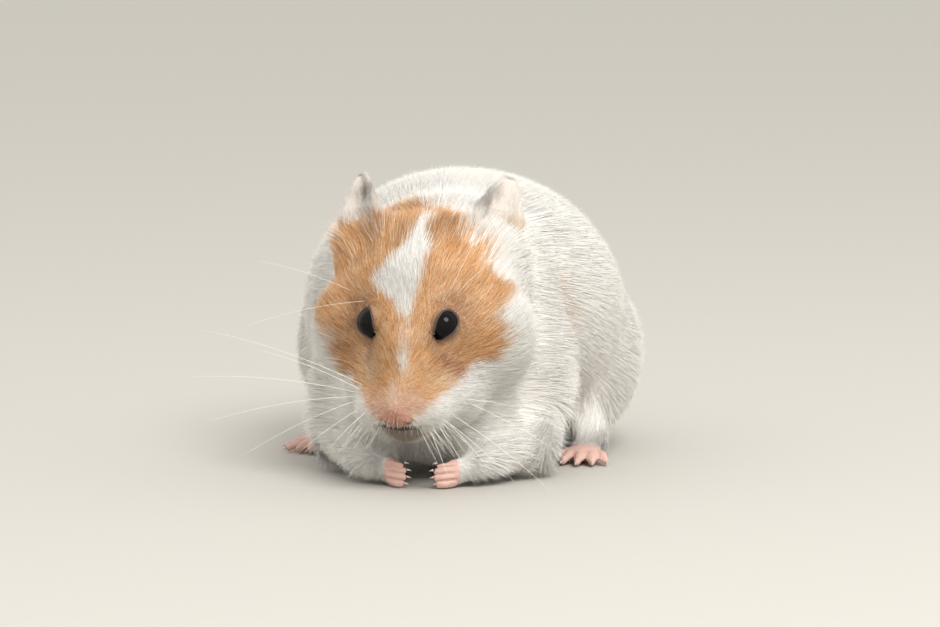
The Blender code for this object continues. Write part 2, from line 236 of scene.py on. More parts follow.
def off_bare(points):
    """How far each point is from the bare palms, soles and toes, in mm."""
    spots = points / MM
    gaps = []
    for side, sign in SIDES.items():
        palm = np.array((PALM[0] * sign, PALM[1], PALM[2])) + shift
        behind = (palm - spots) @ (np.array(HAND_LINE) * (sign, 1, 1))
        gaps.append(np.maximum(near(points, ["fore_paw_" + side]), behind + 0.2))
        spot, heading = HIND_STANDS[side]
        ahead = Matrix.Rotation(math.radians(heading), 3, "Z") @ Vector((0, -1, 0))
        behind = (np.array((*spot, 0)) + shift - spots) @ np.array(ahead)
        above = spots[:, 2] - 3.4 + 0.25 * behind
        gap = np.maximum(near(points, ["hind_foot_" + side]), np.maximum(above, behind - 2.0))
        gaps.append(gap)
    return np.min(gaps, axis=0)


def places(points):
    """The distances that the coat's length goes by, in mm."""
    head = to_head(points)
    on_left = in_ear(points, "left")[:, 2]
    on_right = in_ear(points, "right")[:, 2]
    return {
        "head": head,
        "ear_up": np.where(head[:, 0] > 0, on_left, on_right),
        "nose": np.linalg.norm(points - nose, axis=1) / MM,
        "eye": np.min(
            [np.linalg.norm(points - eye, axis=1) for eye in eye_centres.values()], axis=0
        )
        / MM,
        "ear": near(points, ("ear_left", "ear_right")),
        "foot": off_bare(points),
        "tail": near(points, ("tail",)),
    }


ON_NOSE, ON_CROWN = 0.75, 4.0  # length of the hair, in mm
ON_LIDS, ON_FEET, ON_TAIL, ON_EAR_FOOT = 0.7, 0.5, 1.4, 4.2
BODY_EXTRA, RUFF = 3.4, 1.6  # how much longer it is on the body, and on the cheeks and chest
LIDS_REACH = 3.6  # the lids' edges lie within this of an eye's middle


def coat_length(place):
    """Length of the hair: shortest on nose, lids, ears and feet, longest on the body."""
    length = np.minimum(ON_NOSE + 0.16 * place["nose"], ON_CROWN)
    length = length + BODY_EXTRA * smooth_step(place["nose"], 20, 48)
    across, back, up = place["head"].T
    cheek = smooth_step(np.abs(across), 9, 16) * smooth_step(up, 18, 9) * smooth_step(back, 40, 26)
    chest = smooth_step(up, 0, -8) * smooth_step(place["nose"], 12, 18)
    length = length + RUFF * np.maximum(cheek, chest) * smooth_step(place["nose"], 50, 35)
    length = np.minimum(length, ON_LIDS + 0.6 * np.maximum(place["eye"] - LIDS_REACH, 0))
    on_ear = ON_EAR_FOOT - 3.0 * smooth_step(place["ear_up"], 1.5, 8)
    on_ear = on_ear - 0.7 * smooth_step(place["ear_up"], 11, 13.5)
    length = np.minimum(length, on_ear + 1.5 * place["ear"])
    length = np.minimum(length, ON_FEET + 0.9 * np.maximum(place["foot"] - 0.3, 0))
    return np.minimum(length, ON_TAIL + 0.9 * place["tail"])


def coat_depth(place):
    """How far under the frame's surface the skin lies, in mm."""
    return np.minimum(DEPTH_SHARE * coat_length(place), 0.08 + 0.4 * place["ear"])


def keep_largest(obj):
    """Drops every loose bit but the largest."""
    mesh = bmesh.new()
    mesh.from_mesh(obj.data)
    left = set(mesh.verts)
    largest = []
    while left:
        reached = [left.pop()]
        for vertex in reached:
            for edge in vertex.link_edges:
                other = edge.other_vert(vertex)
                if other in left:
                    left.remove(other)
                    reached.append(other)
        largest = max(largest, reached, key=len)
    kept = set(largest)
    crumbs = [vertex for vertex in mesh.verts if vertex not in kept]
    bmesh.ops.delete(mesh, geom=crumbs, context="VERTS")
    mesh.to_mesh(obj.data)
    mesh.free()


def apply_modifier(obj, kind, **settings):
    """Adds a modifier and applies it at once."""
    modifier = obj.modifiers.new(kind.lower(), kind)
    for key, value in settings.items():
        setattr(modifier, key, value)
    bpy.context.view_layer.objects.active = obj
    bpy.ops.object.modifier_apply(modifier=modifier.name)


NAIL_BED, CLAW_REACH = 0.75, 3.4  # a toe's tip is rounded off here, and its claw ends there
bpy.ops.object.select_all(action="DESELECT")
mesh = bmesh.new()
for name in FLESH:
    mesh.from_mesh(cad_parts[name].data)
bmesh.ops.remove_doubles(mesh, verts=mesh.verts, dist=0.001 * MM)
mesh.normal_update()
for vertex in mesh.verts:
    spot = vertex.co / MM
    toe_gap = 9.0
    for name, root, tip, ahead, radius, _ in toes:  # claws come off: they are their own pieces
        if name.endswith("left") != (spot.x > shift.x):
            continue
        along = (spot - tip).dot(ahead)
        bed = NAIL_BED * radius
        if bed < along < CLAW_REACH and (spot - tip - ahead * along).length < 1.0:
            vertex.co -= ahead * (along - bed) * MM
        share = (spot - root).dot(tip - root) / (tip - root).length_squared
        toe_gap = min(toe_gap, (spot - root - (tip - root) * min(max(share, 0), 1)).length)
    vertex.co += vertex.normal * MEETING * min(1.0, toe_gap / 3)


def add_lobe(mesh, centre, radii):
    """A soft mass of the muzzle, placed from the nose."""
    place = Matrix.Translation(from_head(centre)) @ Matrix.Rotation(HEAD_TURN, 4, "Z")
    bmesh.ops.create_uvsphere(
        mesh,
        u_segments=32,
        v_segments=20,
        radius=MM,
        matrix=place @ Matrix.Diagonal((*radii, 1)),
    )


add_lobe(mesh, (0, 1.6, 1.2), (3.6, 2.6, 2.6))
add_lobe(mesh, (0, 0.5, -2.6), (2.6, 1.9, 1.7))
for sign in SIDES.values():  # the wings of the nose run down into the split upper lip
    add_lobe(mesh, (2.3 * sign, 0.6, -1.9), (2.0, 1.9, 1.9))
skin_mesh = bpy.data.meshes.new("skin")
mesh.to_mesh(skin_mesh)
mesh.free()
skin = bpy.data.objects.new("skin", skin_mesh)
bpy.context.scene.collection.objects.link(skin)
skin.select_set(True)
apply_modifier(skin, "REMESH", mode="VOXEL", voxel_size=FUSE_VOXEL)
keep_largest(skin)

# The body is evened out, and ears, feet and face hardly at all. Then the skin goes in step by step.
points = points_of(skin.data)
edges = edges_of(skin.data)
place = places(points)
near_fine = np.minimum(place["ear"], place["foot"])
near_fine = np.minimum(near_fine, np.maximum(place["eye"] - LIDS_REACH, 0))
near_fine = np.minimum(near_fine, 1.4 + 0.5 * np.maximum(place["nose"] - 5, 0))
fine = smooth_step(near_fine, 3, 0)[:, None]
points = relax(points, edges, 0.5 * (1 - fine), 30)
points = relax(points, edges, 0.4, 4)
DRAW_IN_STEPS = 4
toe_gap = off_toes(points)
grown = MEETING * np.clip(toe_gap / 3, 0, 1)
depth = (coat_depth(place) * MM + grown)[:, None] / DRAW_IN_STEPS
for _ in range(DRAW_IN_STEPS):
    put_points(skin.data, points)
    points = points - normals_of(skin.data) * depth
    points = relax(points, edges, 0.5 * (1 - 0.8 * fine), 4)
put_points(skin.data, points)
apply_modifier(skin, "REMESH", mode="VOXEL", voxel_size=SKIN_VOXEL)
keep_largest(skin)

# The body under long hair needs few faces, and face, ears and feet keep theirs.
points = points_of(skin.data)
place = places(points)
points = relax(points, edges_of(skin.data), 0.5, 3)
put_points(skin.data, points)
plain = (place["nose"] > 14) & (place["eye"] > 8) & (place["ear"] > 2) & (place["foot"] > 2)
THINNED = 0.86  # share of the plain faces that goes
group = skin.vertex_groups.new(name="plain")
group.add(np.flatnonzero(plain).tolist(), 1.0, "REPLACE")
apply_modifier(
    skin,
    "DECIMATE",
    ratio=1 - THINNED * plain.mean(),
    vertex_group="plain",
    vertex_group_factor=500.0,
)
skin.vertex_groups.clear()

# Lids: the opening is a tear drop that points down and forward at the nose.
OUTWARD = {"left": (0.49, -0.85, 0.20), "right": (-0.49, -0.85, 0.20)}
TO_CANTHUS = {"left": (-0.52, -0.3, -0.86), "right": (0.48, -0.3, -0.88)}
LID_STAND = 0.22  # the lid's edge stands this far off the eyeball
LID_ANGLE = 35  # from the eye's axis to the lid at the sides, in degrees
TO_INNER, TO_OUTER = 18, 23  # more than that, towards the two corners
CANTHUS_PULL, CANTHUS_WIDTH = 32, 0.3  # how far the inner corner is drawn out, and how wide


def eye_axes(side):
    """Out of the eye, towards its inner corner, and across."""
    out = unit(HEAD_TO_WORLD @ np.array(OUTWARD[side]))
    corner = HEAD_TO_WORLD @ np.array(TO_CANTHUS[side])
    corner = unit(corner - out * (corner @ out))
    return out, corner, np.cross(out, corner)


def lid_edge(bearing):
    """Angle from the eye's axis to the lid, by bearing from the inner corner."""
    along = np.cos(bearing)
    long_way = np.where(along > 0, TO_INNER * along**4, TO_OUTER * along**2)
    pull = CANTHUS_PULL * np.exp(-((bearing / CANTHUS_WIDTH) ** 2))
    return np.radians(LID_ANGLE + long_way + pull)


def round_eye(points, side):
    """Angle from the eye's axis, angle past the lid's edge and distance from its centre."""
    out, corner, across = eye_axes(side)
    away = (points - eye_centres[side]) / MM
    distance = np.linalg.norm(away, axis=1)
    ahead = away @ out
    bearing = np.arctan2(away @ across, away @ corner)
    angle = np.arccos(np.clip(ahead / np.maximum(distance, 1e-9), -1, 1))
    return angle, angle - lid_edge(bearing), distance


def refine(obj, chosen):
    """Splits every edge whose two ends are among the chosen points."""
    mesh = bmesh.new()
    mesh.from_mesh(obj.data)
    mesh.verts.ensure_lookup_table()
    picked = set(np.flatnonzero(chosen).tolist())
    edges = [e for e in mesh.edges if e.verts[0].index in picked and e.verts[1].index in picked]
    bmesh.ops.subdivide_edges(mesh, edges=edges, cuts=1, use_grid_fill=True, smooth=0)
    bmesh.ops.triangulate(mesh, faces=[f for f in mesh.faces if len(f.verts) > 4])
    mesh.to_mesh(obj.data)
    mesh.free()


def by_eyes(points, reach):
    """Points round the lids' edges, out to an angle past them."""
    found = np.zeros(len(points), bool)
    for side in SIDES:
        _, past, distance = round_eye(points, side)
        found |= (past > -0.3) & (past < reach) & (distance < 7.5)
    return found


# Face details need finer faces: round each eye, on the nose and lips, and between the toes.
NOSE_REACH, BETWEEN_TOES = 6.8, 1.6  # from the nose's middle and from the toes' lines, in mm
refine(skin, by_eyes(points_of(skin.data), 0.5))
refine(skin, by_eyes(points_of(skin.data), 0.3))
points = points_of(skin.data)
nose_gap = np.linalg.norm(points - nose, axis=1) / MM
refine(skin, (nose_gap < NOSE_REACH) | (off_toes(points) < BETWEEN_TOES))

points = points_of(skin.data)
edges = edges_of(skin.data)
around_face = np.linalg.norm(points - nose, axis=1) / MM < NOSE_REACH
around_face |= by_eyes(points, 0.6)
points = relax(points, edges, 0.5 * around_face[:, None], 5)

# Between the lids the skin sinks into the ball. At their edge it stands off it as a rim. Beyond,
# it is held between two limits that open out, so that it runs smoothly into the cheek.
for side in SIDES:
    angle, past, distance = round_eye(points, side)
    ball = eye_radius / MM
    inside = smooth_step(past, 0.0, -0.10)
    rim = np.exp(-(((past - 0.07) / 0.07) ** 2))
    wanted = ball - 0.5 * inside + LID_STAND * rim + 0.06 * (1 - inside)
    lowest = ball + 0.1 - 0.9 * np.maximum(past - 0.2, 0)
    highest = ball + 0.2 + 2.6 * np.maximum(past - 0.1, 0)
    outside = np.clip(distance, np.minimum(lowest, highest), highest)
    over = smooth_step(past, 0.06, 0.2)
    target = wanted * (1 - over) + outside * over
    share = smooth_step(angle, 2.4, 1.6) * smooth_step(distance, 9.5, 5.5)
    target = distance + (target - distance) * share
    scale = target / np.maximum(distance, 1e-9)
    points = eye_centres[side] + (points - eye_centres[side]) * scale[:, None]
soft = np.zeros(len(points))
for side in SIDES:  # the fold round the lids is evened out into the cheek
    _, past, distance = round_eye(points, side)
    soft = np.maximum(soft, smooth_step(past, 0.18, 0.4) * smooth_step(distance, 11.0, 7.5))
points = relax(points, edges, 0.5 * soft[:, None], 40)

# Nostrils are two comma-shaped pits, with a slit from the nose down to the lip.
MOUTH_DEPTH, MOUTH_WIDTH = 1.1, 0.5


def dent(head, centre, radii, depth):
    """How deep a soft oval pit is at each point."""
    away = (head - np.array(centre)) / np.array(radii)
    return depth * np.exp(-np.sum(away**2, axis=1))


def lip_line(head):
    """How far each point is above the mouth, in mm."""
    return head[:, 2] + 4.0 - 0.05 * head[:, 0] ** 2


put_points(skin.data, points)
head = to_head(points)
pits = np.zeros(len(points))
for sign in SIDES.values():  # each nostril is a comma that curls up round the wing
    pits += dent(head, (2.4 * sign, -1.2, -2.7), (0.9, 2.6, 0.45), 0.9)
    pits += dent(head, (3.4 * sign, -0.6, -2.0), (0.5, 2.6, 0.6), 0.6)
pits += dent(head, (-0.1, -2, -2.9), (0.26, 3.0, 1.4), 0.6)
in_mouth = smooth_step(head[:, 1], 9, 7) * smooth_step(np.abs(head[:, 0]), 5.6, 4.4)
pits += MOUTH_DEPTH * np.exp(-((lip_line(head) / MOUTH_WIDTH) ** 2)) * in_mouth

# Fingers and toes part along the lines midway between them.
TOE_GROOVE = 0.42
for foot_name in sorted({toe[0] for toe in toes}):
    lines = [toe for toe in toes if toe[0] == foot_name]
    gaps = np.sort([segment_gap(points / MM, toe[1], toe[2]) for toe in lines], axis=0)
    groove = np.exp(-(((gaps[1] - gaps[0]) / 0.4) ** 2)) * smooth_step(gaps[0], 2.4, 1.5)
    pits += TOE_GROOVE * groove
points = points - normals_of(skin.data) * (pits * MM)[:, None]
put_points(skin.data, points)

mesh = bmesh.new()
mesh.from_mesh(skin.data)
bmesh.ops.triangulate(mesh, faces=mesh.faces)
mesh.to_mesh(skin.data)
mesh.free()
skin.data.shade_smooth()

# The hide is laid out in flat patches. The hairs are laid out on them too.
bpy.ops.object.select_all(action="DESELECT")
skin.select_set(True)
bpy.context.view_layer.objects.active = skin
skin.data.uv_layers.new(name="OFBake")
bpy.ops.object.mode_set(mode="EDIT")
bpy.ops.mesh.select_all(action="SELECT")
bpy.ops.uv.smart_project(angle_limit=math.radians(66), island_margin=0.002)
bpy.ops.object.mode_set(mode="OBJECT")

# Markings: ginger over the face and crown with a white blaze, the rest of the animal white.
# The colour is in each hair. The skin under the coat is tinted alike, so that no bare white shows,
# and both go by the place on the head.


def linear(code):
    """A six-digit sRGB colour as linear red, green and blue."""
    parts = np.array([int(code[i : i + 2], 16) for i in (0, 2, 4)]) / 255
    return np.where(parts <= 0.04045, parts / 12.92, ((parts + 0.055) / 1.055) ** 2.4)


WHITE = linear("F6F3EC")
GINGER = linear("E4A056")
GINGER_DARK = linear("BC7A3A")
BROWN = linear("7C4D2B")
RUST = linear("8C4C1E")
AMBER = linear("DE8E3C")
MUZZLE_PINK = linear("DFB29C")
NOSE_PINK = linear("9C6A5E")
NOSE_TAN = linear("B28872")
# painted shade inside the nostrils and the nose's slit
NOSTRIL_SHADE_PAINT = linear("5A3A36")
SKIN_PINK = linear("D0A596")
EAR_CREAM = linear("FAF2E8")
EAR_GREY = linear("6E6460")
EAR_TAN = linear("E2BC8C")
LID_DARK = linear("352727")
# a painted highlight for the wet edge of the lids
LID_GLINT_PAINT = linear("8A7470")
# painted shade for the crease of the mouth
MOUTH_SHADE_PAINT = linear("2E211E")
FLANK_TAN = linear("B48E66")
# painted shade for the underside of the chin
CHIN_SHADE_PAINT = linear("6F5842")
PALE_TIP = linear("F8DFBC")


def ripple(points, size, seed):
    """A smooth wavering value between about -1 and 1, with features of this size in mm."""
    chance = np.random.default_rng(seed)
    total = np.zeros(len(points))
    for _ in range(5):
        along = unit(chance.normal(size=3))
        step = 2 * math.pi / (size * chance.uniform(0.7, 1.5))
        total += np.sin(points @ along / MM * step + chance.uniform(0, 6.3))
    return total / 2.6


BLAZE = (  # height, right edge, left edge
    (17.0, 0.2, 0.5),
    (18.5, -0.6, 0.8),
    (20.0, -1.9, 1.1),
    (22.3, -3.3, 1.7),
    (24.0, -5.5, 2.1),
    (26.0, -8.5, 2.6),
    (29.0, -5.2, 2.7),
    (31.8, -3.4, 2.8),
    (34.8, -1.9, 1.5),
    (39.0, -1.3, 0.0),
    (41.5, -1.0, -0.3),
)
GINGER_LEFT = (  # height, how far the ginger reaches on the animal's left
    (-4.5, 0.0),
    (-0.3, 5.0),
    (1.6, 6.9),
    (3.3, 7.6),
    (4.9, 9.9),
    (6.7, 11.4),
    (9.5, 13.4),
    (10.3, 17.2),
    (12.0, 19.2),
    (16.4, 19.4),
    (18.4, 17.7),
    (21.5, 19.0),
    (23.8, 20.6),
    (27.3, 16.7),
    (30.6, 16.9),
    (33.0, 13.6),
    (36.2, 9.2),
    (39.9, 5.0),
    (42.0, 4.4),
)
GINGER_RIGHT = (
    (-4.5, 0.0),
    (0.2, 6.0),
    (2.7, 8.4),
    (4.5, 9.2),
    (5.6, 14.0),
    (8.5, 16.0),
    (12.0, 17.2),
    (14.0, 18.4),
    (16.2, 20.4),
    (21.0, 23.0),
    (30.0, 24.0),
    (36.0, 19.5),
    (42.0, 15.0),
)
STREAKS = (  # start, end, radius, strength and colour of darker or paler hair
    ((3.4, 27.0, 39.4), (2.6, 17.5, 34.8), 1.9, 1.0, BROWN),
    ((4.5, 24.0, 38.0), (8.2, 20.0, 35.3), 2.3, 0.9, BROWN),
    ((-3.3, 22.0, 37.6), (-5.6, 15.8, 32.6), 2.0, 1.0, BROWN),
    ((-10.4, 24.9, 36.6), (-11.5, 19.0, 32.0), 2.5, 0.7, RUST),
    ((8.2, 8.4, 9.3), (11.0, 8.9, 8.2), 2.3, 1.0, RUST),
    ((-13.5, 9.3, 11.2), (-13.4, 10.0, 7.0), 2.4, 1.0, RUST),
    ((-17.4, 10.4, 16.0), (-16.1, 10.2, 11.1), 2.2, 0.8, BROWN),
    ((-12.1, 10.5, 22.0), (-12.3, 9.3, 16.6), 1.7, 0.9, BROWN),
    ((-8.3, 8.2, 13.6), (-7.4, 8.2, 11.2), 1.5, 0.9, BROWN),
    ((11.6, 10.9, 24.0), (7.1, 8.4, 22.6), 1.6, 0.75, BROWN),
    ((17.0, 10.6, 13.6), (19.4, 11.7, 16.8), 2.6, 0.7, AMBER),
    ((3.4, 9.0, 24.0), (2.6, 5.0, 14.0), 1.8, 0.5, AMBER),
    ((1.2, 0.2, 6.0), (2.8, 1.0, 3.4), 1.2, 0.6, RUST),
    ((-9.0, 8.6, 9.8), (-6.0, 6.0, 6.8), 2.4, 0.5, PALE_TIP),
    ((5.5, 6.0, 6.5), (8.5, 7.5, 6.0), 1.7, 0.5, PALE_TIP),
)
GINGER_EDGE, BLAZE_EDGE = (-1.1, 0.9), (-0.7, 0.6)  # from none to full colour, across the edge
FLANK_LINE, FLANK_WIDTH = ((26.8, -16.5, 43.5), (30.0, -17.5, 30.5)), 1.8


def lookup(table, column, height):
    """A table's value at each height, evened out between its rows."""
    rows = np.array(table)
    return np.interp(height, rows[:, 0], rows[:, column])


def mix(first, second, share):
    """Goes from the first colour to the second by a share for each point."""
    share = np.asarray(share)[..., None]
    return first * (1 - share) + second * share


def nose_pad(head):
    """1 at the edge of the nose's bare pad, less inside it and more outside."""
    across = (head[:, 0] + 0.3) / 3.9
    return np.sqrt(across**2 + ((head[:, 2] + 1.1) / 2.9) ** 2 + (head[:, 1] / 4.5) ** 2)


def markings(points):
    """Colour of the hair at each point of the skin."""
    # Where the ginger ends, with edges as ragged as hair leaves them.
    head = to_head(points)
    ragged = 0.55 * ripple(points, 2.2, 3) + 0.5 * ripple(points, 5.0, 4)
    x, y, z = head[:, 0] + 0.5 * ragged, head[:, 1], head[:, 2] + 0.9 * ragged
    left = lookup(GINGER_LEFT, 1, z)
    right = lookup(GINGER_RIGHT, 1, z)
    ginger = smooth_step(left - x, *GINGER_EDGE) * smooth_step(right + x, *GINGER_EDGE)
    back = np.interp(x, (-13.0, -4.0, 1.0, 10.0), (45.0, 38.0, 35.5, 33.5))
    back = np.where(x < -14, 27.0 + 0.6 * np.maximum(z - 25, 0), back)
    back = np.where(x > 3, np.minimum(back, 22.0 + 1.1 * np.maximum(z - 30, 0)), back)
    ginger *= smooth_step(y + 1.5 * ragged, back + 1.5, back - 2.0)
    ginger *= smooth_step(z, -4.2, -2.6)
    # White on the ginger: the blaze, its trail down the nose, two dabs and a patch on one cheek.
    blaze = smooth_step(x - lookup(BLAZE, 1, z), *BLAZE_EDGE)
    blaze *= smooth_step(lookup(BLAZE, 2, z) - x, *BLAZE_EDGE)
    blaze *= smooth_step(z, 16.5, 18.5) * smooth_step(z, 41.5, 39.5)
    blaze *= smooth_step(y, 28.2, 25.2)
    dab = np.exp(-(((head[:, 0] - 0.9) / 0.9) ** 2 + ((z - 10) / 2.3) ** 2)) * (y < 12)
    streak = np.exp(-(((head[:, 0] + 0.7) / 0.7) ** 2 + ((z - 4.8) / 2.2) ** 2)) * (y < 8)
    trail = 0.4 * np.exp(-(((head[:, 0] - 0.8) / 1.1) ** 2)) * (y < 16)
    trail *= smooth_step(z, 8.0, 11.0) * smooth_step(z, 19.0, 16.5)
    patch = np.exp(-(((head[:, 0] + 17.2) / 1.5) ** 2 + ((z - 13.6) / 1.6) ** 2)) * (y < 30)
    # The ginger itself: lighter and darker locks, the streaks, pink by the nose, brown by the eyes.
    tone = 0.5 + 0.32 * ripple(points, 1.4, 5) + 0.3 * ripple(points, 6.0, 6)
    hair = mix(GINGER, GINGER_DARK, np.clip(tone, 0, 1) * 0.5)
    hair = mix(hair, PALE_TIP, 0.3 * np.clip(ripple(points, 3.6, 7), 0, 1))
    for start, end, radius, strength, tint in STREAKS:
        gap = segment_gap(head, start, end) / radius
        hair = mix(hair, tint, strength * np.exp(-(gap**2)) * np.clip(0.8 + 0.6 * ragged, 0.4, 1))
    pink = smooth_step(nose_pad(head), 2.5, 1.2)
    hair = mix(hair, MUZZLE_PINK, 0.85 * pink)
    for side in SIDES:
        _, past, distance = round_eye(points, side)
        shade = smooth_step(past, 0.9, 0.1) * smooth_step(distance, 8.5, 5.0)
        hair = mix(hair, BROWN, shade * (0.75 + 0.25 * np.clip(ragged, -1, 1)))
    pale = np.clip(blaze + trail + 0.85 * dab + 0.45 * streak + 0.6 * patch, 0, 1)
    hair = mix(hair, WHITE, pale)
    colour = mix(WHITE * (1 - 0.03 * tone[:, None]), hair, ginger)
    # The chin darkened with painted shade, and the tan line down the left flank.
    # The chin's underside is painted dark as the shade under the muzzle, not as a colour of its
    # hair.
    painted_chin_shade = smooth_step(z, -3.6, -4.6) * smooth_step(np.abs(head[:, 0]), 8.0, 4.0)
    painted_chin_shade *= smooth_step(y, 12.0, 6.0)
    colour = mix(colour, CHIN_SHADE_PAINT, 0.85 * painted_chin_shade)
    flank = segment_gap(points / MM, *FLANK_LINE) / FLANK_WIDTH
    return mix(colour, FLANK_TAN, np.exp(-(flank**2)) * (1 - ginger))


def ear_colour(local, colour, share, side):
    """Cream, with grey hair up the left ear's inner edge and across the right one near its tip."""
    across, up = local[:, 0], local[:, 2]
    bottom = 0.0 if side == "left" else 2.2
    made = mix(colour, EAR_CREAM, smooth_step(up, bottom, bottom + 3.5))
    if side == "left":
        made = mix(made, EAR_TAN, 0.6 * smooth_step(across, 1.0, 3.5) * smooth_step(up, 8.5, 4.0))
    inner_edge = -4.4 + 0.33 * (up - 6)
    edge = np.exp(-(((across - inner_edge) / 1.5) ** 2 + ((up - 8.0) / 3.6) ** 2))
    band = np.exp(-(((across + 1.0) / 3.0) ** 2 + ((up - 10.4) / 1.4) ** 2))
    band = band * (0.15 if side == "left" else 1.0)
    edge = edge * (1.0 if side == "left" else 0.35)
    streak = 0.75 + 0.55 * ripple(np.stack([across, up * 0.15, 0 * up], 1) * MM, 0.9, 8)
    made = mix(made, EAR_GREY, np.clip((1.1 * edge + 1.1 * band) * streak, 0, 0.75))
    return mix(colour, made, share)


# The skin itself: pink where it is bare, dark round the eyes, tinted by the coat elsewhere, with
# painted shade in the nostrils, the nose's slit and the mouth, and a painted highlight along the
# lids' edges.
UNDER_COAT = 0.8  # the skin is this much darker than the hair over it
EYE_REACH = 5.5  # a lid's points lie within this of the eye's middle, in mm
points = points_of(skin.data)
place = places(points)
colour = markings(points) * UNDER_COAT
ear_share = smooth_step(place["ear"], 1.6, 0.4)
for side in SIDES:
    mine = ear_share * (to_head(points)[:, 0] * SIDES[side] > 0)
    colour = ear_colour(in_ear(points, side), colour, mine, side)
foot_share = smooth_step(place["foot"], 1.6, 0.5)
colour = mix(colour, SKIN_PINK, foot_share * 0.9)
head = to_head(points)
from_tip = np.hypot((head[:, 0] + 0.3) / 3.0, (head[:, 2] + 1.8) / 2.6)
pad = mix(NOSE_TAN, NOSE_PINK, smooth_step(from_tip, 1.3, 0.5))
speckle = 0.5 + 0.5 * ripple(points, 0.9, 9)
pad = mix(pad, NOSE_TAN, 0.35 * np.clip(speckle, 0, 1))
# The nostrils and the slit under the nose are painted dark as the shade inside their pits.
for sign in SIDES.values():
    gap = np.hypot((head[:, 0] - 2.7 * sign) / 1.1, (head[:, 2] + 2.6) / 0.55)
    pad = mix(pad, NOSTRIL_SHADE_PAINT, 0.8 * np.exp(-(gap**2)))
painted_slit_shade = np.hypot((head[:, 0] + 0.1) / 0.3, (head[:, 2] + 2.9) / 1.1)
pad = mix(pad, NOSTRIL_SHADE_PAINT, 0.6 * np.exp(-(painted_slit_shade**2)))
colour = mix(colour, pad, smooth_step(nose_pad(head), 1.3, 1.0))
# A dark line along the mouth is painted shade in its crease.
painted_mouth_shade = smooth_step(np.abs(lip_line(head)), 0.9, 0.4) * smooth_step(place["nose"], 8, 6.5)
colour = mix(colour, MOUTH_SHADE_PAINT, 0.95 * painted_mouth_shade)
for side in SIDES:
    _, past, distance = round_eye(points, side)
    rim = smooth_step(past, 0.28, 0.16) * (distance < EYE_REACH)
    colour = mix(colour, LID_DARK, rim)
    # A pale line just inside each lid's edge is a painted highlight, the glint of its wet rim.
    painted_lid_glint = np.exp(-(((past - 0.06) / 0.04) ** 2)) * (distance < EYE_REACH)
    colour = mix(colour, LID_GLINT_PAINT, 0.3 * painted_lid_glint)


def paint(mesh, colours):
    """Stores a linear colour on every vertex."""
    layer = mesh.attributes.new("tint", "FLOAT_COLOR", "POINT")
    full = np.ones((len(colours), 4), np.float32)
    full[:, :3] = colours
    layer.data.foreach_set("color", full.ravel())


paint(skin.data, colour)


def add_node(tree, kind, settings=None, links=None):
    """Adds a node, with socket or property values, and links from other nodes' outputs."""
    made = tree.nodes.new(kind)
    for key, value in (settings or {}).items():
        if isinstance(key, str) and hasattr(made, key):
            setattr(made, key, value)
        else:
            made.inputs[key].default_value = value
    for key, source in (links or {}).items():
        tree.links.new(source, made.inputs[key])
    return made


def new_material(name, **values):
    """A Principled material, its tree and its shader."""
    made = bpy.data.materials.new(name)
    made.use_nodes = True
    shader = made.node_tree.nodes["Principled BSDF"]
    for key, value in values.items():
        shader.inputs[key.replace("_", " ")].default_value = value
    return made, made.node_tree, shader


# Bare skin of a small rodent: soft and faintly moist, so its highlights are broad and dull. It is
# blotched with blood beneath, and its creases are about half a millimetre apart.
BLOTCH, CREASE = 10 / 9 * MM, 0.5 * MM
hide, tree, shader = new_material("bare_skin", Roughness=0.5, IOR=1.4)
tint = add_node(tree, "ShaderNodeAttribute", {"attribute_name": "tint"})
spot = add_node(tree, "ShaderNodeTexCoord")
blotch = add_node(
    tree,
    "ShaderNodeTexNoise",
    {"Scale": 1 / BLOTCH, "Detail": 3.0},
    {"Vector": spot.outputs["Object"]},
)
shade = add_node(
    tree,
    "ShaderNodeMapRange",
    {"To Min": 0.86, "To Max": 1.1},
    {"Value": blotch.outputs["Fac"]},
)
blend = add_node(
    tree,
    "ShaderNodeMix",
    {"data_type": "RGBA", "blend_type": "MULTIPLY", 0: 1.0},
    {6: tint.outputs["Color"], 7: shade.outputs["Result"]},
)
tree.links.new(blend.outputs[2], shader.inputs["Base Color"])
crease = add_node(
    tree,
    "ShaderNodeTexVoronoi",
    {"feature": "SMOOTH_F1", "Scale": 1 / CREASE},
    {"Vector": spot.outputs["Object"]},
)
bump = add_node(
    tree,
    "ShaderNodeBump",
    {"Strength": 0.6, "Distance": 0.2 * MM},
    {"Height": crease.outputs["Distance"]},
)
tree.links.new(bump.outputs["Normal"], shader.inputs["Normal"])
skin.data.materials.append(hide)
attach(skin, "root")
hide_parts(*[name for name in FLESH if not name.startswith("eye")])

# ---------------------------------------------------------------------------------------------
# Eyes: glossy near-black balls, as glass eyes are blown for a mounted animal.
# Each sits in its lids. Polished clear glass over the dark brown gives one small sharp highlight.
IRIS_FLECK = 2 / 3 * MM
CORNEA = 0.03  # how far the front of the ball bulges, as a share of its radius
iris, tree, shader = new_material(
    "glass_eye", Roughness=0.04, IOR=1.36, Specular_IOR_Level=0.26
)
spot = add_node(tree, "ShaderNodeTexCoord")
fleck = add_node(
    tree,
    "ShaderNodeTexNoise",
    {"Scale": 1 / IRIS_FLECK, "Detail": 2.0},
    {"Vector": spot.outputs["Object"]},
)
ramp = add_node(tree, "ShaderNodeValToRGB", None, {"Fac": fleck.outputs["Fac"]})
ramp.color_ramp.elements[0].color = (*linear("050404"), 1)
ramp.color_ramp.elements[1].color = (*linear("0C0807"), 1)
tree.links.new(ramp.outputs["Color"], shader.inputs["Base Color"])
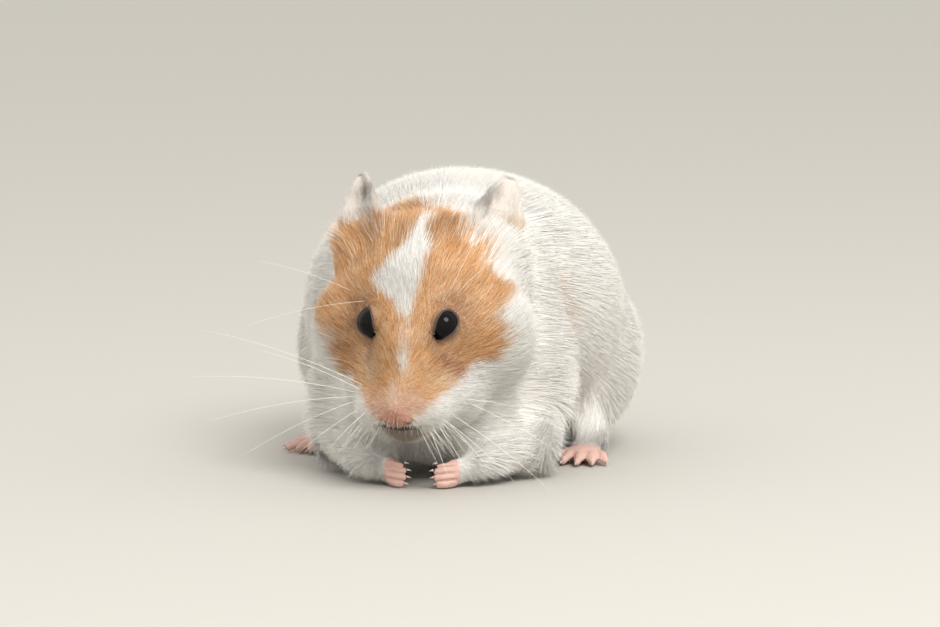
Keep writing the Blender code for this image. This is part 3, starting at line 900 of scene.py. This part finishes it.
for side in SIDES:
    bpy.ops.object.select_all(action="DESELECT")
    bpy.ops.mesh.primitive_uv_sphere_add(
        segments=64, ring_count=40, radius=eye_radius, location=eye_centres[side]
    )
    ball = bpy.context.object
    ball.name = "eyeball_" + side
    out, _, _ = eye_axes(side)
    bpy.ops.object.mode_set(mode="EDIT")
    lens = bmesh.from_edit_mesh(ball.data)
    for vertex in lens.verts:  # the cornea stands a little proud of the ball
        ahead = vertex.co.normalized().dot(Vector(out))
        vertex.co *= 1 + CORNEA * max(0.0, ahead) ** 3
    bmesh.update_edit_mesh(ball.data)
    bpy.ops.object.mode_set(mode="OBJECT")
    bpy.ops.object.transform_apply(location=True, rotation=True, scale=True)
    bpy.ops.object.shade_smooth()
    ball.data.materials.append(iris)
    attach(ball, "root")
    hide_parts("eye_" + side)

# ---------------------------------------------------------------------------------------------
# Claws: thin curved cones of pale horn at the end of every toe, five on a hind foot, four in front.
# They grow out of the skin at the nail bed. Horn is smooth and a little translucent, so it shines
# softly and is banded with paler growth.
CLAW_BASE, CLAW_TIP = 0.27, 0.03  # radii
CLAW_DROP = 0.3  # how far a claw's tip curves down, as a share of its length
HORN_BAND = 0.4 * MM
horn, tree, shader = new_material("claw_horn", Roughness=0.35, IOR=1.54)
spot = add_node(tree, "ShaderNodeTexCoord")
band = add_node(
    tree, "ShaderNodeTexNoise", {"Scale": 1 / HORN_BAND}, {"Vector": spot.outputs["Object"]}
)
ramp = add_node(tree, "ShaderNodeValToRGB", None, {"Fac": band.outputs["Fac"]})
ramp.color_ramp.elements[0].color = (*linear("B99C8B"), 1)
ramp.color_ramp.elements[1].color = (*linear("E6D6C8"), 1)
tree.links.new(ramp.outputs["Color"], shader.inputs["Base Color"])


def claw(tip, ahead, radius, length):
    """A cone added at its size, then bent down in edit mode."""
    bpy.ops.object.select_all(action="DESELECT")
    facing = Vector((0, 0, 1)).rotation_difference(ahead)
    start = tip + ahead * radius * 0.35
    bpy.ops.mesh.primitive_cone_add(
        vertices=8, radius1=CLAW_BASE * MM, radius2=CLAW_TIP * MM, depth=length * MM
    )
    made = bpy.context.object
    bpy.ops.object.mode_set(mode="EDIT")
    bpy.ops.mesh.select_all(action="SELECT")
    bpy.ops.mesh.subdivide(number_cuts=2)
    made_mesh = bmesh.from_edit_mesh(made.data)
    for vertex in made_mesh.verts:
        along = vertex.co.z / MM + length / 2
        spot = start + ahead * along
        sideways = facing @ Vector((vertex.co.x, vertex.co.y, 0))
        drop = CLAW_DROP * along**2 / length
        vertex.co = spot * MM + sideways + Vector((0, 0, (0.12 - drop) * MM))
        vertex.co.z = max(vertex.co.z, 0.02 * MM)
    bmesh.update_edit_mesh(made.data)
    bpy.ops.object.mode_set(mode="OBJECT")
    bpy.ops.object.shade_smooth()
    made.data.materials.append(horn)
    return made


def join(pieces, name):
    """Makes one piece of several, with its place in its mesh."""
    bpy.ops.object.select_all(action="DESELECT")
    for piece in pieces:
        piece.select_set(True)
    bpy.context.view_layer.objects.active = pieces[0]
    bpy.ops.object.join()
    joined = bpy.context.object
    joined.name = name
    bpy.ops.object.transform_apply(location=True, rotation=True, scale=True)
    return joined


for foot_name in sorted({toe[0] for toe in toes}):
    foot_claws = [claw(*toe[2:]) for toe in toes if toe[0] == foot_name]
    claws = join(foot_claws, "claws_" + foot_name)
    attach(claws, "root")

# ---------------------------------------------------------------------------------------------
# Coat: some three hundred thousand fine tufts of keratin, each a closed three-sided spike.
# They lie along the body from the nose backwards, short on the face and feet and longer on the
# trunk, where their tips reach the frame's surface.
HAIR_COVER = 17.6  # how many hairs lie over one another at any point
BODY_LIFT, FACE_LIFT, EAR_LIFT = 9.0, 15.0, 24.0  # angle from the skin, in degrees
PARTING = (0.0, -3.0, 2.5)  # just ahead of the nose: the head's hair runs away from here
DOWN_THE_BACK = (0.0, 1.0, -0.42)
FOREARM = ((20.5, -23.0, 8.2), (11.6, -39.0, 4.9))  # elbow and wrist of the left arm
WAVER = 0.12  # how far locks stray together from the lie
chance = np.random.default_rng(20)


def flow(points, place):
    """Which way the hair runs: away from the nose on the head, then back and down."""
    head = place["head"]
    away = unit(head - np.array(PARTING)) @ HEAD_TO_WORLD.T
    body = np.tile(np.array(DOWN_THE_BACK), (len(points), 1))
    body[:, 0] = 0.25 * np.clip(points[:, 0] / (25 * MM), -1, 1)
    body = unit(body)
    for side, sign in SIDES.items():
        elbow, wrist = (Vector((end[0] * sign, *end[1:])) + shift for end in FOREARM)
        gap = segment_gap(points / MM, elbow, wrist)
        share = smooth_step(gap, 12, 6)[:, None]
        body = unit(body * (1 - share) + unit(np.array(wrist - elbow)) * share)
        foot = middle("hind_foot_" + side)
        toward = unit(foot + np.array((0, 0, -2 * MM)) - points)
        share = smooth_step(np.linalg.norm(points - foot, axis=1) / MM, 17, 7)[:, None]
        body = unit(body * (1 - share) + toward * share)
    share = smooth_step(place["nose"] + 0.25 * head[:, 1], 38, 56)[:, None]
    run = unit(away * (1 - share) + body * share)
    for side, sign in SIDES.items():
        up = HEAD_TO_WORLD @ ear_turn(side) @ np.array((0.0, 0.0, 1.0))
        share = smooth_step(place["ear"], 2.4, 0.4) * (head[:, 0] * sign > 0)
        share = (share * smooth_step(place["ear_up"], -3, 1))[:, None]
        run = unit(run * (1 - share) + up * share)
    waver = np.stack([ripple(points, 14.0, seed) for seed in (11, 12, 13)], axis=1)
    return unit(run + WAVER * waver)


# Where hair grows, and how thickly. Soles, toes, the nose's pad and the lips are bare.
HAIR_ROOT, HAIR_GAIN = 0.10, 0.013  # width at the root, and how much more each mm of length adds
PAD_COVER = 0.03  # share of the cover that the nose's pad has
LIP_LOW, LIP_HIGH, LIP_HALF = -0.4, 0.75, 4.8  # the bare strip along the mouth, in mm
BELLY_COVER = 0.45  # underneath, where nothing shows
corners = np.empty(len(skin.data.polygons) * 3, np.int32)
skin.data.polygons.foreach_get("vertices", corners)
corners = corners.reshape(-1, 3)
skin_points = points_of(skin.data)
skin_normals = normals_of(skin.data)
patch_uv = np.empty(len(skin.data.loops) * 2, np.float32)
skin.data.uv_layers["OFBake"].data.foreach_get("uv", patch_uv)
patch_uv = patch_uv.reshape(-1, 3, 2).astype(float)

skin_place = places(skin_points)
length_at = coat_length(skin_place)
width_at = HAIR_ROOT + HAIR_GAIN * length_at
cover_at = np.full(len(skin_points), HAIR_COVER)
cover_at[skin_place["foot"] < 0.8] = 0
off_pad = smooth_step(nose_pad(skin_place["head"]), 0.85, 1.15)
cover_at *= PAD_COVER + (1 - PAD_COVER) * off_pad
over_mouth = lip_line(skin_place["head"])
lips = (over_mouth > LIP_LOW) & (over_mouth < LIP_HIGH) & (skin_place["nose"] < 7)
cover_at[lips & (np.abs(skin_place["head"][:, 0]) < LIP_HALF)] = 0
for side in SIDES:
    _, past, distance = round_eye(skin_points, side)
    cover_at[(distance < EYE_REACH) & (past < 0.15)] = 0
underneath = (skin_normals[:, 2] < -0.5) & (skin_points[:, 2] < 14 * MM)
cover_at[underneath] *= BELLY_COVER
density_at = cover_at / (length_at * width_at)

# Roots are spread evenly by area, one to each share of the whole.
a, b, c = (skin_points[corners[:, i]] for i in range(3))
area = np.linalg.norm(np.cross(b - a, c - a), axis=1) / 2 / MM**2
wanted = np.cumsum(area * density_at[corners].mean(axis=1))
number = int(wanted[-1])
pick = np.searchsorted(wanted, (np.arange(number) + chance.random(number)) / number * wanted[-1])
pick = np.clip(pick, 0, len(corners) - 1)
first, second = chance.random(number), chance.random(number)
flip = first + second > 1
first[flip], second[flip] = 1 - first[flip], 1 - second[flip]
share = np.stack([1 - first - second, first, second], axis=1)


def at_roots(values):
    """A value of the skin's points at every hair's root."""
    found = values[corners[pick]]
    weights = share if found.ndim == 2 else share[..., None]
    return (found * weights).sum(axis=1)


roots = at_roots(skin_points)
root_normals = unit(at_roots(skin_normals))
root_uv = (patch_uv[pick] * share[..., None]).sum(axis=1)
root_place = {key: at_roots(value) for key, value in skin_place.items()}
length_of_coat = at_roots(length_at)
body_coat = smooth_step(length_of_coat, 4.6, 6.4)
length = length_of_coat * chance.uniform(0.72, 1.12, number)
width = at_roots(width_at)

run = flow(roots, root_place)
straying = 0.11 - 0.04 * body_coat
run = run + straying[:, None] * chance.normal(size=(number, 3))
run = unit(run - root_normals * np.sum(run * root_normals, axis=1, keepdims=True))

# A hair takes the marking under the middle of its length, which is the part that shows. Roots
# stray over the edge of a marking by about this much, in mm.
STRAY = 0.5
shown = roots + run * (0.5 * MM * length)[:, None]
strayed = shown + STRAY * MM * chance.normal(size=(number, 3))
hair_colour = markings(strayed)
ear_share = smooth_step(root_place["ear"], 1.4, 0.3)
for side in SIDES:
    mine = ear_share * (root_place["head"][:, 0] * SIDES[side] > 0)
    hair_colour = ear_colour(in_ear(strayed, side), hair_colour, mine, side)
fluff = smooth_step(root_place["ear"], 4.0, 1.0) * (chance.random(number) < 0.5)
hair_colour = mix(hair_colour, EAR_CREAM, 0.8 * fluff * (1 - ear_share))
# Among the ginger some hairs are pale and some brown. White hairs differ less.
gingery = np.clip((hair_colour[:, 0] - hair_colour[:, 2]) / 0.5, 0, 1)
pale = chance.random(number) ** 3 * 0.9 * gingery
hair_colour = mix(hair_colour, PALE_TIP, pale)
dark = chance.random(number) ** 4 * 0.9 * gingery
hair_colour = mix(hair_colour, BROWN, dark)
spread = 0.09 + 0.03 * gingery - 0.03 * ear_share - 0.04 * body_coat
hair_colour = hair_colour * (1 + spread * chance.normal(size=number)).clip(0.6, 1.2)[:, None]
shaded = 0.26 * (1 - 0.7 * body_coat) * (1 - gingery) * chance.random(number) ** 3
hair_colour = hair_colour * (1 - shaded)[:, None]
lift = BODY_LIFT + (FACE_LIFT - BODY_LIFT) * smooth_step(length, 5.5, 3.5)
on_ear = EAR_LIFT - 14 * smooth_step(root_place["ear_up"], 7, 12)
lift = lift + (on_ear - lift) * ear_share
lift = lift + (5 - 2.5 * body_coat) * chance.normal(size=number)

# Guard hair is a fine scaly fibre of keratin: it has no sharp highlight, but a soft sheen that
# brightens the coat's edges. The flecks are its clumps, about a millimetre and a half across.
HAIR_CLUMP = 10 / 7 * MM
keratin, tree, shader = new_material("guard_hair", Roughness=0.62, IOR=1.5)
shader.inputs["Sheen Weight"].default_value = 0.25
shader.inputs["Sheen Roughness"].default_value = 0.4
tint = add_node(tree, "ShaderNodeAttribute", {"attribute_name": "tint"})
spot = add_node(tree, "ShaderNodeTexCoord")
fleck = add_node(
    tree,
    "ShaderNodeTexNoise",
    {"Scale": 1 / HAIR_CLUMP, "Detail": 2.0},
    {"Vector": spot.outputs["Object"]},
)
shade = add_node(
    tree,
    "ShaderNodeMapRange",
    {"To Min": 0.93, "To Max": 1.06},
    {"Value": fleck.outputs["Fac"]},
)
blend = add_node(
    tree,
    "ShaderNodeMix",
    {"data_type": "RGBA", "blend_type": "MULTIPLY", 0: 1.0},
    {6: tint.outputs["Color"], 7: shade.outputs["Result"]},
)
tree.links.new(blend.outputs[2], shader.inputs["Base Color"])

root_tone = 0.78 + 0.09 * body_coat  # hair is darker at the root, less so in the long coat
TIP_TONE = 1.04
ROOT_CLEAR, TIP_CLEAR = 0.05 * MM, 0.15 * MM  # least heights over the floor
PATCH = 0.003  # side of a tuft's patch on the unwrapped skin
# A tuft is shaded partly by its own roundness and partly by the lie of the skin. The thin ears'
# hairs stand clear of the skin at the rim, so they go mostly by their own.
ROUNDNESS, EAR_ROUNDNESS = 0.3, 0.85
roundness = ROUNDNESS + (EAR_ROUNDNESS - ROUNDNESS) * ear_share


def lay_tufts(name, chosen):
    """Makes closed three-sided tufts, each a base and three long faces, as one mesh."""
    count = len(chosen)
    up = root_normals[chosen]
    ahead = run[chosen]
    aside = np.cross(up, ahead)
    long = (length[chosen] * MM)[:, None]
    wide = (width[chosen] * MM)[:, None] / 2
    angle = np.radians(lift[chosen])[:, None]
    base = roots[chosen] - up * 0.25 * wide
    along = ahead * np.cos(angle) + up * np.sin(angle)
    tip = base + along * long
    tip[:, 2] = np.maximum(tip[:, 2], TIP_CLEAR)
    over = up * np.cos(angle) - ahead * np.sin(angle)
    own = roundness[chosen][:, None]
    spin = chance.uniform(0, 2 * math.pi, count)[:, None]
    rings, soft = [], []
    for corner in range(3):
        around = spin + corner * 2 * math.pi / 3
        outward = aside * np.cos(around) + over * np.sin(around)
        ring = base + outward * wide
        ring[:, 2] = np.maximum(ring[:, 2], ROOT_CLEAR)
        rings.append(ring)
        soft.append(unit(up * (1 - own) + outward * own))
    verts = np.stack([*rings, tip], axis=1).reshape(-1, 3)
    lean = own - ROUNDNESS
    soft = np.stack([*soft, unit(up * (1 - lean) + along * lean)], axis=1).reshape(-1, 3)
    faces = np.array([(2, 1, 0), (0, 1, 3), (1, 2, 3), (2, 0, 3)])
    face_uv = [((-0.5, -0.5), (0.5, -0.5), (0.0, -0.4))]
    for corner in range(3):
        left, right = corner / 3 - 0.5, (corner + 1) / 3 - 0.5
        face_uv.append(((left, -0.36), (right, -0.36), ((left + right) / 2, 0.5)))
    triangles = (faces[None] + (np.arange(count) * 4)[:, None, None]).reshape(-1, 3)
    uv = root_uv[chosen][:, None, :] + (np.array(face_uv) * PATCH).reshape(1, -1, 2)
    made = bpy.data.meshes.new(name)
    made.vertices.add(len(verts))
    made.vertices.foreach_set("co", verts.astype(np.float32).ravel())
    made.loops.add(triangles.size)
    made.loops.foreach_set("vertex_index", triangles.astype(np.int32).ravel())
    made.polygons.add(len(triangles))
    made.polygons.foreach_set("loop_start", np.arange(0, triangles.size, 3, dtype=np.int32))
    layer = made.uv_layers.new(name="OFBake")
    layer.data.foreach_set("uv", uv.astype(np.float32).ravel())
    made.update(calc_edges=True)
    tints = np.repeat(hair_colour[chosen][:, None, :], 4, axis=1)
    tints[:, :3] *= root_tone[chosen, None, None]
    tints[:, 3] *= TIP_TONE
    paint(made, np.clip(tints, 0, 1).reshape(-1, 3))
    made.shade_smooth()
    made.normals_split_custom_set_from_vertices(soft)
    piece = bpy.data.objects.new(name, made)
    bpy.context.scene.collection.objects.link(piece)
    piece.data.materials.append(keratin)
    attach(piece, "root")


# The coat is laid in twelve pieces, so that none is too large to save. A piece ends at these
# lengths of hair, and at these distances behind the nose on the head and the middle on the body.
SHORT_COAT = 4.3
MUZZLE_END, CHEEK_END = 10, 20
SHOULDER_END, FLANK_END = -8 * MM, 22 * MM
on_left = roots[:, 0] > nose[0]
short = length_of_coat < SHORT_COAT
zones = np.select(
    [
        short & (root_place["head"][:, 1] < MUZZLE_END),
        short & (root_place["head"][:, 1] < CHEEK_END),
        short,
        roots[:, 1] < SHOULDER_END,
        roots[:, 1] < FLANK_END,
    ],
    ["muzzle", "cheek", "crown", "shoulder", "flank"],
    "rump",
)
for zone in ("muzzle", "cheek", "crown", "shoulder", "flank", "rump"):
    for side in SIDES:
        chosen = np.flatnonzero((zones == zone) & (on_left == (side == "left")))
        lay_tufts(f"coat_{zone}_{side}", chosen)

# ---------------------------------------------------------------------------------------------
# Whiskers: long stiff white hairs of keratin, set in the pads beside the nose and on the brows.
# They fan out sideways and down, droop a little, and taper to a fine point.
WHISKERS = (  # root and tip from the nose, then thickness at the root
    ((-8.7, 5.6, 4.6), (-44.7, 8.9, 14.6), 0.11),
    ((-9.3, 5.4, 3.6), (-32.0, 7.7, 10.9), 0.12),
    ((-10.5, 6.4, 2.9), (-47.5, 6.9, 4.8), 0.12),
    ((-10.8, 6.6, 2.0), (-42.3, 4.8, -4.2), 0.12),
    ((-10.4, 6.3, 1.2), (-34.7, 3.3, -11.2), 0.115),
    ((-8.8, 1.8, 0.5), (-21.2, -0.9, -9.5), 0.11),
    ((-6.9, 0.5, -0.1), (-14.1, -2.4, -8.1), 0.115),
    ((13.0, 9.0, 1.2), (32.7, 18.0, -11.7), 0.12),
    ((10.7, 5.2, -0.8), (31.2, 8.4, -17.0), 0.12),
    ((9.6, 2.8, -1.7), (24.2, 4.9, -14.7), 0.115),
    ((7.7, 4.0, -3.0), (15.7, 4.6, -15.5), 0.12),
    ((6.0, 3.0, -3.0), (10.4, 2.4, -13.5), 0.115),
    ((9.4, 6.3, -2.8), (18.8, 8.3, -14.0), 0.115),
    ((12.8, 8.0, 1.9), (31.3, 18.6, -3.2), 0.11),
    ((-10.0, 9.5, 22.0), (-34.8, 7.7, 15.9), 0.075),
    ((-13.3, 12.1, 23.7), (-33.6, 13.9, 29.0), 0.075),
    ((9.4, 9.4, 22.5), (18.2, 17.3, 31.8), 0.07),
    ((8.7, 9.1, 23.0), (13.2, 16.2, 35.0), 0.07),
)
SHORT_WHISKERS = 16  # on each side, below the long ones
SHORT_THICK = 0.09
BRISTLE_TIP = 0.02 * MM
DROOP = 0.035  # how far a whisker sags, as a share of its length
WHISKER_RINGS = 9
WHISKER_CLEAR = 0.3 * MM  # least height over the floor
# A whisker is thick enough for its keratin to shine a little along its length.
BRISTLE_GRAIN = 2.5 * MM
bristle, tree, shader = new_material("whisker_keratin", Roughness=0.4, IOR=1.54)
spot = add_node(tree, "ShaderNodeTexCoord")
grain = add_node(
    tree, "ShaderNodeTexNoise", {"Scale": 1 / BRISTLE_GRAIN}, {"Vector": spot.outputs["Object"]}
)
ramp = add_node(tree, "ShaderNodeValToRGB", None, {"Fac": grain.outputs["Fac"]})
ramp.color_ramp.elements[0].color = (*linear("E4DDD0"), 1)
ramp.color_ramp.elements[1].color = (*linear("FFFDF8"), 1)
tree.links.new(ramp.outputs["Color"], shader.inputs["Base Color"])
hide_tree = BVHTree.FromPolygons(
    [Vector(point) for point in skin_points], [list(face) for face in corners]
)


def whisker(root, tip, thick):
    """A slender cone added at its length, ringed in edit mode and bent along its curve."""
    start, end = Vector(from_head(root)), Vector(from_head(tip))
    start = hide_tree.find_nearest(start)[0]
    reach = (end - start).length
    turned = Vector((0, 0, 1)).rotation_difference(end - start)
    bpy.ops.object.select_all(action="DESELECT")
    bpy.ops.mesh.primitive_cone_add(
        vertices=5, radius1=thick / 2 * MM, radius2=BRISTLE_TIP, depth=reach
    )
    made = bpy.context.object
    bpy.ops.object.mode_set(mode="EDIT")
    bpy.ops.mesh.select_mode(type="EDGE")
    bpy.ops.mesh.select_all(action="DESELECT")
    shape = bmesh.from_edit_mesh(made.data)
    for edge in shape.edges:
        edge.select_set(edge.calc_length() > reach / 2)
    bpy.ops.mesh.subdivide(number_cuts=WHISKER_RINGS)
    shape = bmesh.from_edit_mesh(made.data)
    for vertex in shape.verts:
        along = vertex.co.z / reach + 0.5
        vertex.co = start + turned @ (vertex.co + Vector((0, 0, reach / 2)))
        vertex.co.z += DROOP * reach * (1 - (2 * along - 1) ** 2)
        vertex.co.z = max(vertex.co.z, WHISKER_CLEAR)
    bmesh.update_edit_mesh(made.data)
    bpy.ops.object.mode_set(mode="OBJECT")
    bpy.ops.object.shade_smooth()
    made.data.materials.append(bristle)
    return made


bristles = {"left": [], "right": []}
for root, tip, thick in WHISKERS:
    bristles["left" if root[0] > 0 else "right"].append(whisker(root, tip, thick))
for side, sign in SIDES.items():
    for _ in range(SHORT_WHISKERS):
        root = np.array((sign * chance.uniform(3.5, 8.5), 3.0, chance.uniform(-3.5, 0.5)))
        aim = np.array((sign * (root[0] * sign / 8.0), 0.1, -1.0 - chance.uniform(-0.2, 0.6)))
        tip = root + unit(aim) * chance.uniform(5, 10)
        bristles[side].append(whisker(tuple(root), tuple(tip), SHORT_THICK))
for side, pieces in bristles.items():
    whiskers = join(pieces, "whiskers_" + side)
    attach(whiskers, "root")

# ---------------------------------------------------------------------------------------------
# Camera, light and floor: a long lens a metre away, low and a little to the animal's left.
# One big soft light hangs above and in front, a pale room fills the shade, and the floor is paper.
LENS = 182.4
AZIMUTH, ELEVATION = math.radians(9.5), math.radians(7)
DISTANCE = 1.04
TARGET = Vector((3.842, 0.566, 31.384)) * MM
toward = Vector(
    (
        math.sin(AZIMUTH) * math.cos(ELEVATION),
        -math.cos(AZIMUTH) * math.cos(ELEVATION),
        math.sin(ELEVATION),
    )
)
camera_data = bpy.data.cameras.new("camera")
camera_data.lens = LENS
camera_data.clip_start = 0.01
camera = bpy.data.objects.new("camera", camera_data)
camera.location = TARGET + toward * DISTANCE
camera.rotation_euler = (-toward).to_track_quat("-Z", "Y").to_euler()
bpy.context.scene.collection.objects.link(camera)
bpy.context.scene.camera = camera

SKY = Vector((0.45, -0.6, 0.8))
light_data = bpy.data.lights.new("sky_light", "AREA")
light_data.shape = "DISK"
light_data.size = 0.56
light_data.energy = 8.5
light = bpy.data.objects.new("sky_light", light_data)
light.location = SKY
light.rotation_euler = (-SKY).to_track_quat("-Z", "Y").to_euler()
bpy.context.scene.collection.objects.link(light)
world = bpy.data.worlds.new("studio")
bpy.context.scene.world = world
world.use_nodes = True
room = world.node_tree.nodes["Background"]
room.inputs["Color"].default_value = (0.82, 0.81, 0.79, 1)
room.inputs["Strength"].default_value = 1.3

bpy.ops.object.select_all(action="DESELECT")
bpy.ops.mesh.primitive_plane_add(size=6)
floor = bpy.context.object
floor.name = "floor"
# Uncoated paper: matt all over, so that it shows soft shadows and no reflections.
paper, tree, shader = new_material("paper_floor", Roughness=0.8)
shader.inputs["Base Color"].default_value = (*linear("BDB9B1"), 1)
floor.data.materials.append(paper)

bpy.context.scene.view_settings.view_transform = "Standard"

bpy.context.view_layer.update()
